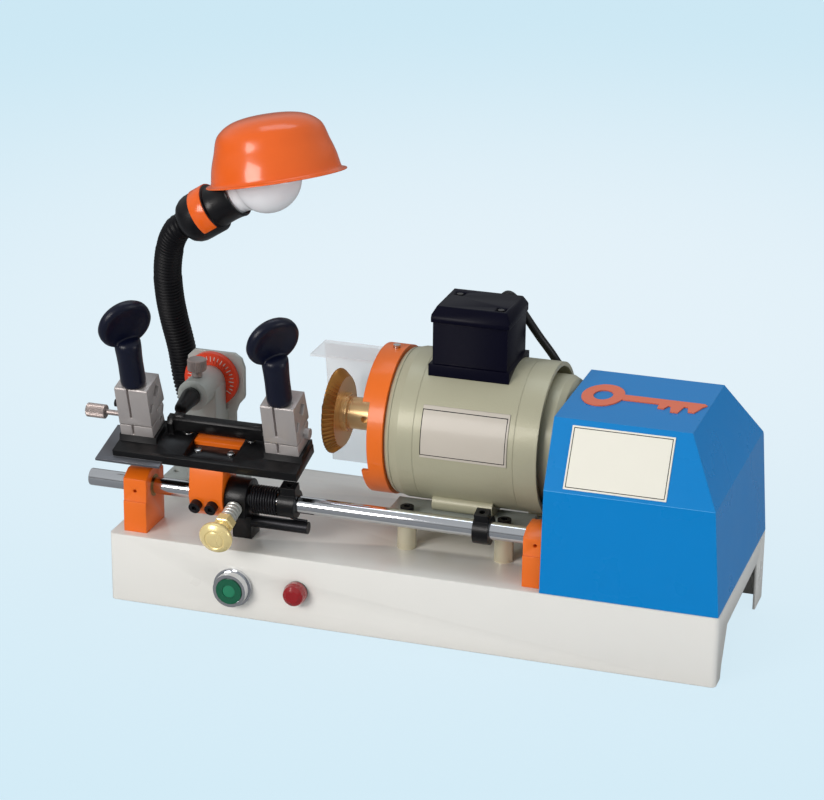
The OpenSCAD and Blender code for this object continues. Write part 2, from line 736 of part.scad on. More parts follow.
// ---- Carriage ----
module carriage_rod() {
  color([0.85, 0.87, 0.9]) placed() difference() {
    cylx(rod_d / 2, -277, 145, rod_y, rod_z);
    for (x = arm_screw_x) {
      carriage() cyly(2.1, -10, -6.2, x, 0);
    }
  }
}
module carriage_arm() {
  color([0.93, 0.42, 0.12]) placed() carriage() difference() {
    union() {
      prismx(-184, -155.5, [[-17, -6], [-17, 8], [-8, plate_z0], [16, plate_z0], [16, -6], [9, -14],
        [-11, -14]]);
      prismx(-195, -122, [[6, 19], [6, plate_z0], [32.5, plate_z0], [32.5, 22], [29, 19]]);
      box(-190.6, -149.4, 20.4, 30.6, plate_z0 - 0.5, plate_z1 - 1.5);
    }
    cylx(rod_d / 2, -190, -150, 0, 0);
    for (x = arm_screw_x) {
      cyly(2.1, -18, -5, x, 0);
    }
  }
}
module arm_screws() {
  color([0.07, 0.07, 0.08]) placed() carriage() for (x = arm_screw_x) {
    difference() {
      union() {
        cyly(2, -18, -6.5, x, 0);
        cyly(4.8, -23, -17, x, 0);
      }
      translate([x, -24, 0]) rotate([-90, 0, 0]) cylinder(r = 4 / sqrt(3), h = 4, $fn = 6);
    }
  }
}
module carriage_plate() {
  color([0.07, 0.07, 0.08]) placed() carriage() {
    difference() {
      union() {
        box(-250, -93, -8, 33, plate_z0, plate_z1);
        prismx(-263, -207.5, [[-14.5, plate_z0], [-14.5, plate_z0 + 2], [33, plate_z0 + 2], [33, plate_z0]]);
        for (x = [-214, -132]) {
          prismx(x, x + 5, [[22.5, plate_z1 - 1], [22.5, 46], [26, 50], [32, 50], [33, 46],
            [33, plate_z1 - 1]]);
        }
        for (x = [left_x, right_x]) {
          prismx(x - jaw_w / 2 - 1.5, x + jaw_w / 2 + 2.5, [[jaw_y0 - 2, plate_z1 - 0.5], [jaw_y0, pad_z],
            [32.9, pad_z], [32.9, plate_z1 - 0.5]]);
        }
      }
      box(-191, -149, -3, 20, 31, 40);
      box(-191, -149, 19.9, 31, 25, 40);
      cylx(2.6, -220, -120, gauge_p[0], gauge_p[1]);
      for (x = [left_x, right_x]) {
        cylz(2.1, 25, 40, x, 31);
      }
    }
    for (p = [[-184, 12], [-156, 12]]) {
      cylz(3, 31, 33, p[0], p[1]);
    }
    for (p = [[-198, 28], [-144, 28]]) {
      cylz(3.6, plate_z1, plate_z1 + 1.2, p[0], p[1]);
    }
  }
}
module lower_jaw(xc) {
  difference() {
    prismx(xc - jaw_w / 2, xc + jaw_w / 2, [[jaw_y0, pad_z], [jaw_y0, 50.6], [22.6, 50.6], [22.6, 58.4],
      [34, 58.4], [35, 55], [32, 50], [33, pad_z]]);
    cylz(vise_d / 2 + 0.05, pad_z - 1, 70, xc, vise_y);
    box(xc - 4, xc - 2, 6, 12, pad_z + 1, 52);
  }
}
module upper_jaw(xc) {
  x0 = xc - jaw_w / 2;
  x1 = xc + jaw_w / 2;
  difference() {
    prismx(x0, x1, [[jaw_y0, 51.4], [jaw_y0, 85], [jaw_y0 + 1, 86], [jaw_y1, 86], [37, 63], [37, 59.2],
      [22.2, 59.2], [22.2, 51.4]]);
    cylz(vise_d / 2 + 0.1, 50, 90, xc, vise_y);
    box(xc - 4, xc - 2, 6, 12, 58, 88);
    for (x = [x0 - 1, x1 - 6]) {
      prismx(x, x + 7, [[19.5, 75], [25.5, 81], [31.5, 75], [25.5, 69]]);
      prismx(x, x + 7, [[8.5, 65], [14, 70.5], [17, 67.5], [11.5, 62]]);
    }
  }
}
module left_lower_jaw() {
  color([0.66, 0.64, 0.62]) placed() carriage() difference() {
    lower_jaw(left_x);
    cylx(2.32, -250, -217, stop_p[0], stop_p[1]);
  }
}
module right_lower_jaw() {
  color([0.66, 0.64, 0.62]) placed() carriage() {
    lower_jaw(right_x);
    cylx(4.4, -96, -92, 26.5, 51);
  }
}
module left_upper_jaw() {
  color([0.66, 0.64, 0.62]) placed() carriage() {
    upper_jaw(left_x);
    cylx(3.2, -255, -248, 20, 62.5);
  }
}
module right_upper_jaw() {
  color([0.66, 0.64, 0.62]) placed() carriage() {
    upper_jaw(right_x);
    cylx(3.6, -131, -124, 29, 62.8);
  }
}
// Paddle head on a stout stem, with the clamping screw below it.
module vise_knob(xc) {
  translate([xc, vise_y, 0]) {
    cylz(vise_d / 2, pad_z + 1, 90, 0, 0);
    translate([0, 0, 86.3]) rotate_extrude()
      polygon([[0, 0], [9.2, 0], [10.2, 2.5], [10, 20], [10.6, 42], [0, 42]]);
    translate([0, 0, 143.5]) rotate([0, 0, 40]) rotate([103, 0, 0]) rotate_extrude()
      polygon([[0, -3.2], [17, -4], [21, -3.4], [23.3, -1.4], [23.3, 1.4], [21, 3.4], [17, 4], [0, 3.2]]);
  }
}
module left_vise_knob() {
  color([0.08, 0.09, 0.13]) placed() carriage() vise_knob(left_x);
}
module right_vise_knob() {
  color([0.08, 0.09, 0.13]) placed() carriage() vise_knob(right_x);
}
// Clamp collar of the spring and stop collar near the right block.
module rod_collars() {
  color([0.06, 0.06, 0.07]) placed() carriage() {
    difference() {
      union() {
        cylx(collar_r, -112, -98, 0, 0);
        box(-110, -97, -5, 5, 8, 18);
      }
      cylx(rod_d / 2, -113, -90, 0, 0);
      cylz(2.4, 12, 19, -103.5, 0);
    }
    difference() {
      union() {
        cylx(collar_r, 49.5, 62.5, 0, 0);
        box(50.5, 61.5, -5, 5, 8, 17);
      }
      cylx(rod_d / 2, 48, 64, 0, 0);
      cylz(2.4, 12, 19, 56, 0);
    }
  }
}
module return_spring() {
  color([0.1, 0.1, 0.11]) placed() for (i = [0 : 9]) {
    translate([-136 + 2.3 * i, rod_y, rod_z]) rotate([0, 90, 0]) rotate_extrude()
      translate([10.7, 1]) circle(r = 1, $fn = 16);
  }
}
module key_gauge() {
  color([0.05, 0.05, 0.06]) placed() carriage() {
    cylx(2.5, -214.5, -126.5, gauge_p[0], gauge_p[1]);
    prismx(gauge_x[0], gauge_x[1], [[24, 39.5], [24, 49.5], [25.5, 51], [31.5, 51], [33, 49.5], [33, 39.5]]);
    prismx(gauge_x[0], gauge_x[0] + 8.6, [[24.5, 42], [24.5, 47], [27, 52.5], [31, 52.5], [32.5, 42]]);
    prismx(gauge_x[1] - 8.6, gauge_x[1], [[24.5, 42], [24.5, 47], [27, 51.5], [31, 51.5], [32.5, 42]]);
  }
}
module tip_stop() {
  color([0.55, 0.5, 0.47]) placed() carriage() {
    cylx(2.25, -268, -240, stop_p[0], stop_p[1]);
    cylx(5.8, tip_x0, -268, stop_p[0], stop_p[1]);
  }
}

base_housing();
left_bearing_block();
right_bearing_block();
rod_bushes();
motor_shell();
motor_front_bell();
motor_rear_bell();
stator_core();
motor_foot();
motor_stand();
motor_bolts();
terminal_box();
terminal_lid();
small_screws();
motor_cable();
cable_fittings();
motor_nameplate();
guard_ring();
clear_shield();
rear_cover();
cover_label();
key_emblem();
button_housing();
button_cap();
indicator_holder();
indicator_lens();
start_capacitor();
tracer_housing();
tracer_spindle();
tracer_dial();
tracer_lock();
lamp_mount();
gooseneck();
lamp_cup();
lamp_bulb();
lamp_shade();
motor_rotor();
cutter_arbor();
cutter_wheel();
cutter_nut();
brush_wheel();
lock_bracket();
spring_bar();
plunger_housing();
pull_knob();
carriage_rod();
carriage_arm();
arm_screws();
carriage_plate();
left_lower_jaw();
right_lower_jaw();
left_upper_jaw();
right_upper_jaw();
left_vise_knob();
right_vise_knob();
rod_collars();
return_spring();
key_gauge();
tip_stop();
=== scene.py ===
"""Looks of the key duplicating machine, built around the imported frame. Metres, in the frame's axes."""
import json
import math

import bmesh
import bpy
from mathutils import Matrix, Vector


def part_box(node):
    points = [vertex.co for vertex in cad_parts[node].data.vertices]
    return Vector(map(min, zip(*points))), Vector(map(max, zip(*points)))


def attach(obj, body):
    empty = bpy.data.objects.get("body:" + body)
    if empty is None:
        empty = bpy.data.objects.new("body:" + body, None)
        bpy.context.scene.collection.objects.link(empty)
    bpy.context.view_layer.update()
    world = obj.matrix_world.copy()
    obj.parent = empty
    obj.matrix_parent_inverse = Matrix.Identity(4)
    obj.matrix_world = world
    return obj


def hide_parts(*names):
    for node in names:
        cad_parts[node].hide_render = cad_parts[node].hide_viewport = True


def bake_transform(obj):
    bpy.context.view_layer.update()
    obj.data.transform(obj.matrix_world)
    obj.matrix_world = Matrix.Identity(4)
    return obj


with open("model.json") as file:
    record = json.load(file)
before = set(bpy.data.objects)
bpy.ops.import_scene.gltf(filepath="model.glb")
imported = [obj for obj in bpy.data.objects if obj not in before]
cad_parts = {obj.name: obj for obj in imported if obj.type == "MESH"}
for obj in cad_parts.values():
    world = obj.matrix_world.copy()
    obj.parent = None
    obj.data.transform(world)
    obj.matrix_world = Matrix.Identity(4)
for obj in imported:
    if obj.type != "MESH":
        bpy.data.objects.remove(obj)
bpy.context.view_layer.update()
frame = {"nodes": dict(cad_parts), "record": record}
NODES = frame["nodes"]
BEHAVIOUR = frame["record"]["behaviour"]
BODY_OF = {n: body for body, names in BEHAVIOUR["bodies"].items() for n in names}
SLOT_OF = {s["node"]: s["material_slot"] for s in frame["record"]["subparts"]}
MM = 0.001

# ---- Places, worked out from the frame ----


def middle(node):
    low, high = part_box(node)
    return (low + high) / 2


BASE_LOW, BASE_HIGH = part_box("base_housing")
CENTRE = Vector(((BASE_LOW.x + BASE_HIGH.x) / 2, (BASE_LOW.y + BASE_HIGH.y) / 2, 0))
ROD = middle("carriage_rod")
MOTOR = middle("motor_shell")
TILT = math.radians(15)
# In mm from the centre of the base's footprint.
ROD_X = (-277, 145)
ROD_R = 7
TRACER_X, TRACER_Z = -215.5, 146.5
BUTTON_AT = (-143, -91, 26.5)
CREASE_Z = 143.5
PANEL_CORNER = (113.2, -90, CREASE_Z)
PANEL_SLOPE = math.atan2(49.5, 29)
# In the carriage's frame.
VISE_X = {"left": -234, "right": -110}
VISE_Y = 16


def at(x, y, z):
    """A point given in mm from the centre of the base's footprint."""
    return CENTRE + Vector((x, y, z)) * MM


def carriage_matrix():
    """Frame of the tilted carriage: x as the base's, y and z in mm from the rod's axis."""
    return Matrix.Translation((CENTRE.x, ROD.y, ROD.z)) @ Matrix.Rotation(TILT, 4, "X") @ Matrix.Scale(MM, 4)


def base_matrix():
    """Frame in mm from the centre of the base's footprint."""
    return Matrix.Translation(CENTRE) @ Matrix.Scale(MM, 4)


def rod_matrix():
    """Frame in mm with its origin on the rod's axis, level."""
    return Matrix.Translation((CENTRE.x, ROD.y, ROD.z)) @ Matrix.Scale(MM, 4)


def motor_matrix():
    """Frame in mm with its origin on the motor's axis."""
    return Matrix.Translation((CENTRE.x, MOTOR.y, MOTOR.z)) @ Matrix.Scale(MM, 4)


def tracer_matrix(y):
    """Frame in mm on the tracer's axis, y mm from the middle of the base."""
    return base_matrix() @ Matrix.Translation((TRACER_X, y, TRACER_Z))


TO_X = Matrix.Rotation(math.pi / 2, 4, "Y")


# ---- Camera and stage ----

CAMERA_AT = (0.62805, -1.9538, 0.9394)
AZIMUTH, ELEVATION, ROLL = (math.radians(a) for a in (17.89, 20.47, 0.56))
LENS_MM = 120.73
FRAME_W, FRAME_H = 824, 800
CENTRE_PX = 412, 400


def make_camera():
    data = bpy.data.cameras.new("camera")
    data.sensor_width = 36
    data.lens = LENS_MM
    data.clip_end = 50
    data.shift_x = (FRAME_W / 2 - CENTRE_PX[0]) / FRAME_W
    data.shift_y = (CENTRE_PX[1] - FRAME_H / 2) / FRAME_W
    cam = bpy.data.objects.new("camera", data)
    forward = Vector((-math.sin(AZIMUTH) * math.cos(ELEVATION),
                      math.cos(AZIMUTH) * math.cos(ELEVATION), -math.sin(ELEVATION)))
    right = Vector((math.cos(AZIMUTH), math.sin(AZIMUTH), 0))
    up = right.cross(forward)
    right, up = (math.cos(ROLL) * right + math.sin(ROLL) * up,
                 math.cos(ROLL) * up - math.sin(ROLL) * right)
    turn = Matrix((right, up, -forward)).transposed().to_4x4()
    cam.matrix_world = Matrix.Translation(CAMERA_AT) @ turn
    bpy.context.scene.collection.objects.link(cam)
    bpy.context.scene.camera = cam


def srgb(r, g, b):
    """Linear colour of an 8-bit screen colour."""
    def lin(c):
        c /= 255
        return c / 12.92 if c <= 0.04045 else ((c + 0.055) / 1.055) ** 2.4
    return (lin(r), lin(g), lin(b), 1.0)


BACKDROP = srgb(208, 237, 250)
# Painted pool of light: the floor glows in this lighter colour near the object, fading out to BACKDROP.
BACKDROP_NEAR = srgb(232, 246, 254)


# Name, place, aim, size in metres, watts and colour.
LIGHTS = [
    ("key", (-1.35, -2.7, 1.3), (0, 0, 0.15), (1.5, 1.2), 55, (1, 0.962, 0.93)),
    ("side", (2.3, -0.5, 0.3), (0.2, 0, 0.12), (0.9, 0.5), 9, (1, 1, 1)),
    ("top", (-0.2, 0.6, 2.4), (0, 0, 0.1), (1.6, 0.8), 9, (0.82, 0.91, 1)),
]


def area_light(name, place, target, size, power, colour):
    data = bpy.data.lights.new(name, "AREA")
    data.shape = "RECTANGLE"
    data.size, data.size_y = size
    data.energy = power
    data.color = colour
    lamp = bpy.data.objects.new(name, data)
    lamp.location = place
    lamp.rotation_euler = (Vector(target) - Vector(place)).to_track_quat("-Z", "Y").to_euler()
    bpy.context.scene.collection.objects.link(lamp)


def make_stage():
    scene = bpy.context.scene
    scene.view_settings.view_transform = "Standard"
    world = bpy.data.worlds.new("studio")
    world.use_nodes = True
    tree = world.node_tree
    tree.nodes.clear()
    out = tree.nodes.new("ShaderNodeOutputWorld")
    mix = tree.nodes.new("ShaderNodeMixShader")
    light = tree.nodes.new("ShaderNodeBackground")
    light.inputs["Color"].default_value = (0.95, 0.98, 1.0, 1)
    heading = tree.nodes.new("ShaderNodeTexCoord")
    height = tree.nodes.new("ShaderNodeSeparateXYZ")
    ramp = tree.nodes.new("ShaderNodeMapRange")
    ramp.inputs["From Min"].default_value = 0.03
    ramp.inputs["From Max"].default_value = 0.34
    ramp.inputs["To Min"].default_value = 0.16
    ramp.inputs["To Max"].default_value = 0.52
    tree.links.new(heading.outputs["Generated"], height.inputs[0])
    tree.links.new(height.outputs["Z"], ramp.inputs["Value"])
    tree.links.new(ramp.outputs[0], light.inputs["Strength"])
    seen = tree.nodes.new("ShaderNodeBackground")
    seen.inputs["Color"].default_value = BACKDROP
    seen.inputs["Strength"].default_value = 1.0
    path = tree.nodes.new("ShaderNodeLightPath")
    tree.links.new(path.outputs["Is Camera Ray"], mix.inputs[0])
    tree.links.new(light.outputs[0], mix.inputs[1])
    tree.links.new(seen.outputs[0], mix.inputs[2])
    tree.links.new(mix.outputs[0], out.inputs[0])
    scene.world = world
    mesh = bpy.data.meshes.new("floor")
    size = 12
    mesh.from_pydata([(-size, -size, 0), (size, -size, 0), (size, size, 0), (-size, size, 0)], [], [(0, 1, 2, 3)])
    floor = bpy.data.objects.new("floor", mesh)
    scene.collection.objects.link(floor)
    mat = bpy.data.materials.new("floor")
    mat.use_nodes = True
    nodes, links = mat.node_tree.nodes, mat.node_tree.links
    nodes.clear()
    out = nodes.new("ShaderNodeOutputMaterial")
    mix = nodes.new("ShaderNodeMixShader")
    mix.inputs[0].default_value = 0.72
    path = nodes.new("ShaderNodeLightPath")
    matte = nodes.new("ShaderNodeBsdfDiffuse")
    tone = nodes.new("ShaderNodeMix")
    tone.data_type = "RGBA"
    tone.inputs["A"].default_value = (0.72, 0.73, 0.74, 1)
    tone.inputs["B"].default_value = (0.34, 0.35, 0.36, 1)
    links.new(path.outputs["Is Glossy Ray"], tone.inputs["Factor"])
    links.new(tone.outputs["Result"], matte.inputs["Color"])
    glow = nodes.new("ShaderNodeEmission")
    # Painted pool of light: the floor's glow is lighter near the object and fades to the backdrop colour further
    # off.
    place = nodes.new("ShaderNodeTexCoord")
    reach = nodes.new("ShaderNodeVectorMath")
    reach.operation = "DISTANCE"
    reach.inputs[1].default_value = (-0.1, 0.75, 0)
    fade = nodes.new("ShaderNodeMapRange")
    fade.interpolation_type = "SMOOTHSTEP"
    fade.inputs["From Min"].default_value = 0.1
    fade.inputs["From Max"].default_value = 1.5
    wash = nodes.new("ShaderNodeMix")
    wash.data_type = "RGBA"
    wash.inputs["A"].default_value = BACKDROP_NEAR
    wash.inputs["B"].default_value = BACKDROP
    links.new(place.outputs["Object"], reach.inputs[0])
    links.new(reach.outputs["Value"], fade.inputs["Value"])
    links.new(fade.outputs[0], wash.inputs["Factor"])
    links.new(wash.outputs["Result"], glow.inputs["Color"])
    both = nodes.new("ShaderNodeMath")
    both.operation = "MULTIPLY"
    both.inputs[1].default_value = 0.9
    links.new(path.outputs["Is Camera Ray"], both.inputs[0])
    links.new(both.outputs[0], mix.inputs[0])
    links.new(matte.outputs[0], mix.inputs[1])
    links.new(glow.outputs[0], mix.inputs[2])
    links.new(mix.outputs[0], out.inputs[0])
    mesh.materials.append(mat)
    floor.location.z = -0.0005
    for light in LIGHTS:
        area_light(*light)


# ---- Materials ----

def material(name, colour, rough, metal=0.0, vary=0.05, patch=18, grain=900, bump=0.03, coat=0.0,
             edge=0.5, edge_wear_and_highlight=0.0, worn_and_highlight=(0.5, 0.5, 0.5, 1), stretch=(1, 1, 1), rough_vary=0.06, alpha=1.0,
             transmission=0.0, ior=1.5, clear_rough=0.06, above=None, shine=0.4):
    """Principled material: patchy colour and roughness, a fine grain in relief, soft edges, and an edge tint that
    is edge wear on most materials and a painted highlight on the blue enamel.

    above is (axis, position in metres, colour): another colour past that place of the piece.
    """
    mat = bpy.data.materials.new(name)
    mat.use_nodes = True
    tree = mat.node_tree
    new, link = tree.nodes.new, tree.links.new
    shader = tree.nodes["Principled BSDF"]
    coords = new("ShaderNodeTexCoord")
    place = new("ShaderNodeMapping")
    place.inputs["Scale"].default_value = stretch
    link(coords.outputs["Object"], place.inputs["Vector"])
    patches = new("ShaderNodeTexNoise")
    patches.inputs["Scale"].default_value = patch
    patches.inputs["Detail"].default_value = 4
    link(place.outputs[0], patches.inputs["Vector"])
    tones = new("ShaderNodeMix")
    tones.data_type = "RGBA"
    tones.inputs["A"].default_value = [c * (1 - vary) for c in colour[:3]] + [1]
    tones.inputs["B"].default_value = [min(c * (1 + vary), 1) for c in colour[:3]] + [1]
    link(patches.outputs["Fac"], tones.inputs["Factor"])
    top = tones.outputs["Result"]
    speck = new("ShaderNodeTexNoise")
    speck.inputs["Scale"].default_value = grain
    speck.inputs["Detail"].default_value = 3
    link(place.outputs[0], speck.inputs["Vector"])
    if above:
        spot = new("ShaderNodeSeparateXYZ")
        link(coords.outputs["Object"], spot.inputs[0])
        past = new("ShaderNodeMath")
        past.operation = "GREATER_THAN"
        past.inputs[1].default_value = above[1]
        link(spot.outputs[above[0]], past.inputs[0])
        swap = new("ShaderNodeMix")
        swap.data_type = "RGBA"
        swap.inputs["B"].default_value = above[2]
        link(past.outputs[0], swap.inputs["Factor"])
        link(top, swap.inputs["A"])
        top = swap.outputs["Result"]
    if edge > 0:
        soft = new("ShaderNodeBevel")
        soft.samples = 4
        soft.inputs["Radius"].default_value = edge * MM
    # Edge tint: edge wear, and on the blue enamel a painted highlight where light catches the bends.
    if edge_wear_and_highlight > 0:
        geometry = new("ShaderNodeNewGeometry")
        dot = new("ShaderNodeVectorMath")
        dot.operation = "DOT_PRODUCT"
        link(soft.outputs[0], dot.inputs[0])
        link(geometry.outputs["Normal"], dot.inputs[1])
        band = new("ShaderNodeMapRange")
        band.inputs["From Min"].default_value = 0.99
        band.inputs["From Max"].default_value = 0.86
        link(dot.outputs["Value"], band.inputs["Value"])
        ragged = new("ShaderNodeMath")
        ragged.operation = "MULTIPLY"
        link(band.outputs[0], ragged.inputs[0])
        link(patches.outputs["Fac"], ragged.inputs[1])
        amount = new("ShaderNodeMath")
        amount.operation = "MULTIPLY"
        amount.inputs[1].default_value = edge_wear_and_highlight * 2
        amount.use_clamp = True
        link(ragged.outputs[0], amount.inputs[0])
        edge_wear_and_highlight_mix = new("ShaderNodeMix")
        edge_wear_and_highlight_mix.data_type = "RGBA"
        edge_wear_and_highlight_mix.inputs["B"].default_value = worn_and_highlight
        link(amount.outputs[0], edge_wear_and_highlight_mix.inputs["Factor"])
        link(top, edge_wear_and_highlight_mix.inputs["A"])
        top = edge_wear_and_highlight_mix.outputs["Result"]
    link(top, shader.inputs["Base Color"])
    gloss = new("ShaderNodeMapRange")
    gloss.inputs["To Min"].default_value = max(rough - rough_vary, 0.02)
    gloss.inputs["To Max"].default_value = min(rough + rough_vary, 1)
    link(patches.outputs["Fac"], gloss.inputs["Value"])
    link(gloss.outputs[0], shader.inputs["Roughness"])
    relief = new("ShaderNodeBump")
    relief.inputs["Strength"].default_value = min(bump * 10, 1)
    relief.inputs["Distance"].default_value = 0.0002
    link(speck.outputs["Fac"], relief.inputs["Height"])
    if edge > 0:
        link(soft.outputs[0], relief.inputs["Normal"])
    link(relief.outputs[0], shader.inputs["Normal"])
    shader.inputs["Metallic"].default_value = metal
    shader.inputs["Specular IOR Level"].default_value = shine
    shader.inputs["Coat Weight"].default_value = coat
    shader.inputs["Coat Roughness"].default_value = clear_rough
    shader.inputs["Transmission Weight"].default_value = transmission
    shader.inputs["IOR"].default_value = ior
    shader.inputs["Alpha"].default_value = alpha
    return mat


MATERIALS = {
    "white_paint": material("white_paint", srgb(232, 231, 226), 0.3, vary=0.015, bump=0.02, coat=0.3, edge=1.6,
                            edge_wear_and_highlight=0.12, worn_and_highlight=srgb(196, 194, 188)),
    "orange_paint": material("orange_paint", srgb(240, 112, 22), 0.34, vary=0.05, bump=0.02, coat=0.15, edge=1.0,
                             edge_wear_and_highlight=0.12, worn_and_highlight=srgb(170, 78, 26)),
    "orange_enamel": material("orange_enamel", srgb(238, 100, 22), 0.24, vary=0.03, bump=0.012, coat=0.35,
                              edge=0.8),
    "key_emblem_paint": material("key_emblem_paint", srgb(234, 112, 76), 0.34, bump=0.03, coat=0.1, edge=0.4),
    "bronze": material("bronze", srgb(160, 124, 70), 0.35, metal=1.0, bump=0.03),
    "motor_paint": material("motor_paint", srgb(178, 175, 150), 0.4, metal=0.1, vary=0.04, grain=620, bump=0.06,
                            coat=0.12, edge=1.4, edge_wear_and_highlight=0.1, worn_and_highlight=srgb(128, 124, 104)),
    "core_iron": material("core_iron", srgb(70, 66, 62), 0.6, metal=0.8, bump=0.08),
    "nickel": material("nickel", srgb(230, 224, 200), 0.2, metal=0.55, bump=0.02, edge=0),
    "dark_steel": material("dark_steel", srgb(34, 34, 38), 0.36, metal=0.6, bump=0.04),
    "box_plastic": material("box_plastic", srgb(6, 6, 24), 0.34, vary=0.1, bump=0.03, edge=1.2, shine=0.08),
    "screw_steel": material("screw_steel", srgb(205, 205, 205), 0.2, metal=1.0, bump=0.02, edge=0.3,
                            above=("Z", 0.25, srgb(46, 44, 44))),
    "cable_rubber": material("cable_rubber", srgb(16, 16, 18), 0.42, vary=0.12, bump=0.05, edge=0.3),
    "plate_print": material("plate_print", srgb(198, 190, 178), 0.36, vary=0.04, bump=0.02, coat=0.1, edge=0.2),
    "cover_plate_print": material("cover_plate_print", srgb(238, 235, 222), 0.36, vary=0.03, bump=0.02, coat=0.1,
                                  edge=0.2),
    "clear_plastic": material("clear_plastic", srgb(246, 246, 248), 0.12, vary=0.01, bump=0.01,
                              ior=1.2, alpha=0.35, edge=0),
    # Painted highlight: the light blue edge tint stands for light catching the bends of the sheet.
    "blue_enamel": material("blue_enamel", srgb(0, 130, 204), 0.28, vary=0.02, bump=0.012, coat=0.1, edge=1.0,
                            shine=0.15,
                            edge_wear_and_highlight=0.3, worn_and_highlight=srgb(96, 176, 220)),
    # Painted highlight: a light blue for the faces along the cover's front crease, standing for light catching the
    # bend.
    "blue_crease_highlight": material("blue_crease_highlight", srgb(104, 190, 244), 0.24, vary=0.06, bump=0.02, coat=0.2, edge=0.3),
    "bezel_chrome": material("bezel_chrome", srgb(216, 218, 222), 0.1, metal=1.0, bump=0.0005, rough_vary=0.02,
                             edge=0),
    "green_button": material("green_button", srgb(16, 92, 66), 0.3, bump=0.03, coat=0.3, edge=0.5),
    "green_ring": material("green_ring", srgb(34, 128, 94), 0.3, bump=0.03, coat=0.3, edge=0.3),
    "holder_metal": material("holder_metal", srgb(90, 88, 86), 0.3, metal=0.8, bump=0.03),
    "red_lens": material("red_lens", srgb(176, 14, 26), 0.12, bump=0.01, coat=0.8, transmission=0.35, edge=0.4),
    "capacitor_can": material("capacitor_can", srgb(190, 190, 188), 0.35, metal=0.9, bump=0.03),
    "grey_casting": material("grey_casting", srgb(178, 184, 180), 0.44, metal=0.25, vary=0.08, grain=420,
                             bump=0.12, edge=1.4, edge_wear_and_highlight=0.2, worn_and_highlight=srgb(190, 192, 190)),
    "black_steel": material("black_steel", srgb(13, 13, 15), 0.34, metal=0.15, vary=0.12, bump=0.05, edge=0.7,
                            coat=0.05, edge_wear_and_highlight=0.16, worn_and_highlight=srgb(70, 68, 68), shine=0.3),
    "plate_steel": material("plate_steel", srgb(108, 110, 116), 0.34, metal=0.7, vary=0.1, bump=0.05, edge=0.5,
                            edge_wear_and_highlight=0.2, worn_and_highlight=srgb(150, 150, 152)),
    "dial_red": material("dial_red", srgb(222, 62, 26), 0.36, bump=0.03, coat=0.15, edge=0.6),
    "knurled_steel": material("knurled_steel", srgb(172, 160, 156), 0.38, metal=0.75, bump=0.1, edge=0.3),
    "hose_black": material("hose_black", srgb(7, 7, 12), 0.46, vary=0.14, bump=0.04, edge=0, shine=0.2),
    "lamp_plastic": material("lamp_plastic", srgb(12, 12, 16), 0.32, vary=0.1, bump=0.03, coat=0.05, edge=0.8,
                             shine=0.3),
    "bulb_glass": material("bulb_glass", srgb(246, 248, 252), 0.14, vary=0.01, bump=0.01, coat=0.5,
                           shine=0.6, edge=0),
    "rotor_steel": material("rotor_steel", srgb(188, 186, 182), 0.22, metal=1.0, bump=0.03, edge=0.3),
    "brass_turned": material("brass_turned", srgb(234, 198, 146), 0.28, metal=0.9, vary=0.06, bump=0.04,
                             stretch=(6, 0.6, 0.6), edge_wear_and_highlight=0.15, worn_and_highlight=srgb(236, 214, 160)),
    "brass_knob": material("brass_knob", srgb(250, 228, 164), 0.26, metal=0.4, vary=0.05, bump=0.03, edge=0.6),
    "cutter_edge": material("cutter_edge", srgb(178, 124, 62), 0.3, metal=0.8, vary=0.12, bump=0.05, edge=0.2),
    "nut_steel": material("nut_steel", srgb(140, 136, 128), 0.3, metal=1.0, bump=0.04),
    "zinc": material("zinc", srgb(206, 208, 202), 0.3, metal=0.5, bump=0.03, edge=0),
    "jaw_steel": material("jaw_steel", srgb(182, 176, 174), 0.4, metal=0.5, vary=0.07, grain=800, bump=0.08,
                          edge=0.7, edge_wear_and_highlight=0.25, worn_and_highlight=srgb(214, 208, 202)),
    "knob_plastic": material("knob_plastic", srgb(7, 12, 34), 0.32, vary=0.1, bump=0.03, coat=0.05, edge=2.2,
                             shine=0.3),
}


def dress_cad():
    for node, obj in NODES.items():
        obj.data.materials.clear()
        obj.data.materials.append(MATERIALS[SLOT_OF[node]])


# ---- Mesh helpers ----

def finish_piece(mesh, name, node, look=None, body=None, replaces=(), smooth=40, others=()):
    """Link a mesh as a piece riding the node's body, with that node's material slot."""
    obj = bpy.data.objects.new(name, mesh)
    bpy.context.scene.collection.objects.link(obj)
    look = look or SLOT_OF[node]
    for key in (look,) + tuple(others):
        mesh.materials.append(MATERIALS[key])
    mesh.shade_smooth()
    mesh.set_sharp_from_angle(angle=math.radians(smooth))
    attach(obj, body or BODY_OF[node])
    if replaces:
        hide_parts(*replaces)
    return obj


def baked(bm, name, matrix=None):
    if matrix is not None:
        bmesh.ops.transform(bm, matrix=matrix, verts=bm.verts)
    bmesh.ops.recalc_face_normals(bm, faces=bm.faces)
    mesh = bpy.data.meshes.new(name)
    bm.to_mesh(mesh)
    bm.free()
    return mesh


def revolve(bm, profile, steps=72, start=Matrix.Identity(4)):
    """Surface of revolution about Z from (radius, height) points; a zero radius closes with a cap point."""
    rings = []
    for radius, height in profile:
        if radius < 1e-6:
            rings.append([bm.verts.new(start @ Vector((0, 0, height)))])
        else:
            rings.append([bm.verts.new(start @ Vector((radius * math.cos(2 * math.pi * k / steps),
                                                       radius * math.sin(2 * math.pi * k / steps), height)))
                          for k in range(steps)])
    for a, b in zip(rings, rings[1:]):
        for k in range(steps):
            corners = [a[k % len(a)], a[(k + 1) % len(a)], b[(k + 1) % len(b)], b[k % len(b)]]
            unique = list(dict.fromkeys(corners))
            if len(unique) > 2:
                bm.faces.new(unique)


